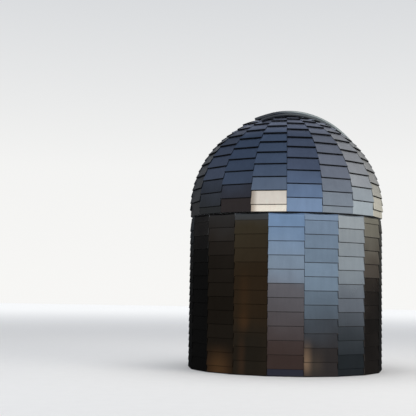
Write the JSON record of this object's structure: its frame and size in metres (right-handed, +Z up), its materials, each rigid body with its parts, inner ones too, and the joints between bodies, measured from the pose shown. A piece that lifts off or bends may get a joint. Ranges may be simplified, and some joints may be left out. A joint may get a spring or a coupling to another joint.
{
  "type": "observatory dome",
  "caption": "Small faceted observatory: tall clad metal drum with a rotating faceted dome of lapped metal plates and a curved shutter that slides up and over its slit.",
  "frame": {"origin": "centre of the drum's footprint, on the ground", "axes": "+Z up, front of the pictured view towards -Y, slit and shutter towards +X turned 30 degrees to +Y"},
  "size_m": [5.208, 5.2, 6.9641],
  "materials": {
    "wall_sheathing": "matt boards behind the metal cladding",
    "dome_sheet": "satin folded sheet",
    "frame_steel": "satin zinc coated steel",
    "shutter_sheet": "satin sheet, pale greenish grey",
    "door_sheet": "satin sheet",
    "floor_deck": "worn boards"
  },
  "bodies": {
    "drum": {"wall_panel_01": "wall_sheathing", "wall_panel_02": "wall_sheathing", "wall_panel_03": "wall_sheathing", "wall_panel_04": "wall_sheathing", "wall_panel_05": "wall_sheathing", "wall_panel_06": "wall_sheathing", "wall_panel_07": "wall_sheathing", "wall_panel_08": "wall_sheathing", "wall_panel_09": "wall_sheathing", "wall_panel_10": "wall_sheathing", "wall_panel_11": "wall_sheathing", "wall_panel_12": "wall_sheathing", "wall_panel_13": "wall_sheathing", "wall_panel_14": "wall_sheathing", "wall_panel_15": "wall_sheathing", "wall_panel_16": "wall_sheathing", "wall_panel_17": "wall_sheathing", "wall_panel_18": "wall_sheathing", "door_leaf": "door_sheet", "floor": "floor_deck", "ring_beam": "frame_steel"},
    "dome": {"dome_ring": "frame_steel", "dome_gore_01": "dome_sheet", "dome_gore_02": "dome_sheet", "dome_gore_03": "dome_sheet", "dome_gore_04": "dome_sheet", "dome_gore_05": "dome_sheet", "dome_gore_06": "dome_sheet", "dome_gore_07": "dome_sheet", "dome_gore_08": "dome_sheet", "dome_gore_09": "dome_sheet", "dome_gore_10": "dome_sheet", "dome_gore_11": "dome_sheet", "dome_gore_12": "dome_sheet", "dome_gore_13": "dome_sheet", "dome_gore_14": "dome_sheet", "dome_gore_15": "dome_sheet", "dome_gore_16": "dome_sheet", "dome_gore_17": "dome_sheet", "dome_gore_18": "dome_sheet", "slit_curb_left": "frame_steel", "slit_curb_right": "frame_steel", "slit_head": "frame_steel"},
    "shutter": {"shutter_skin": "shutter_sheet", "shutter_frame": "frame_steel"}
  },
  "joints": [
    {"name": "dome_rotation", "type": "hinge", "parent": "drum", "child": "dome", "pos_m": [0, 0, 4.052], "axis": [0, 0, 1], "continuous": true},
    {"name": "shutter_slide", "type": "hinge", "parent": "dome", "child": "shutter", "pos_m": [0, 0, 4.25], "axis": [0.5, -0.866, 0], "range_deg": [0, 70]}
  ]
}
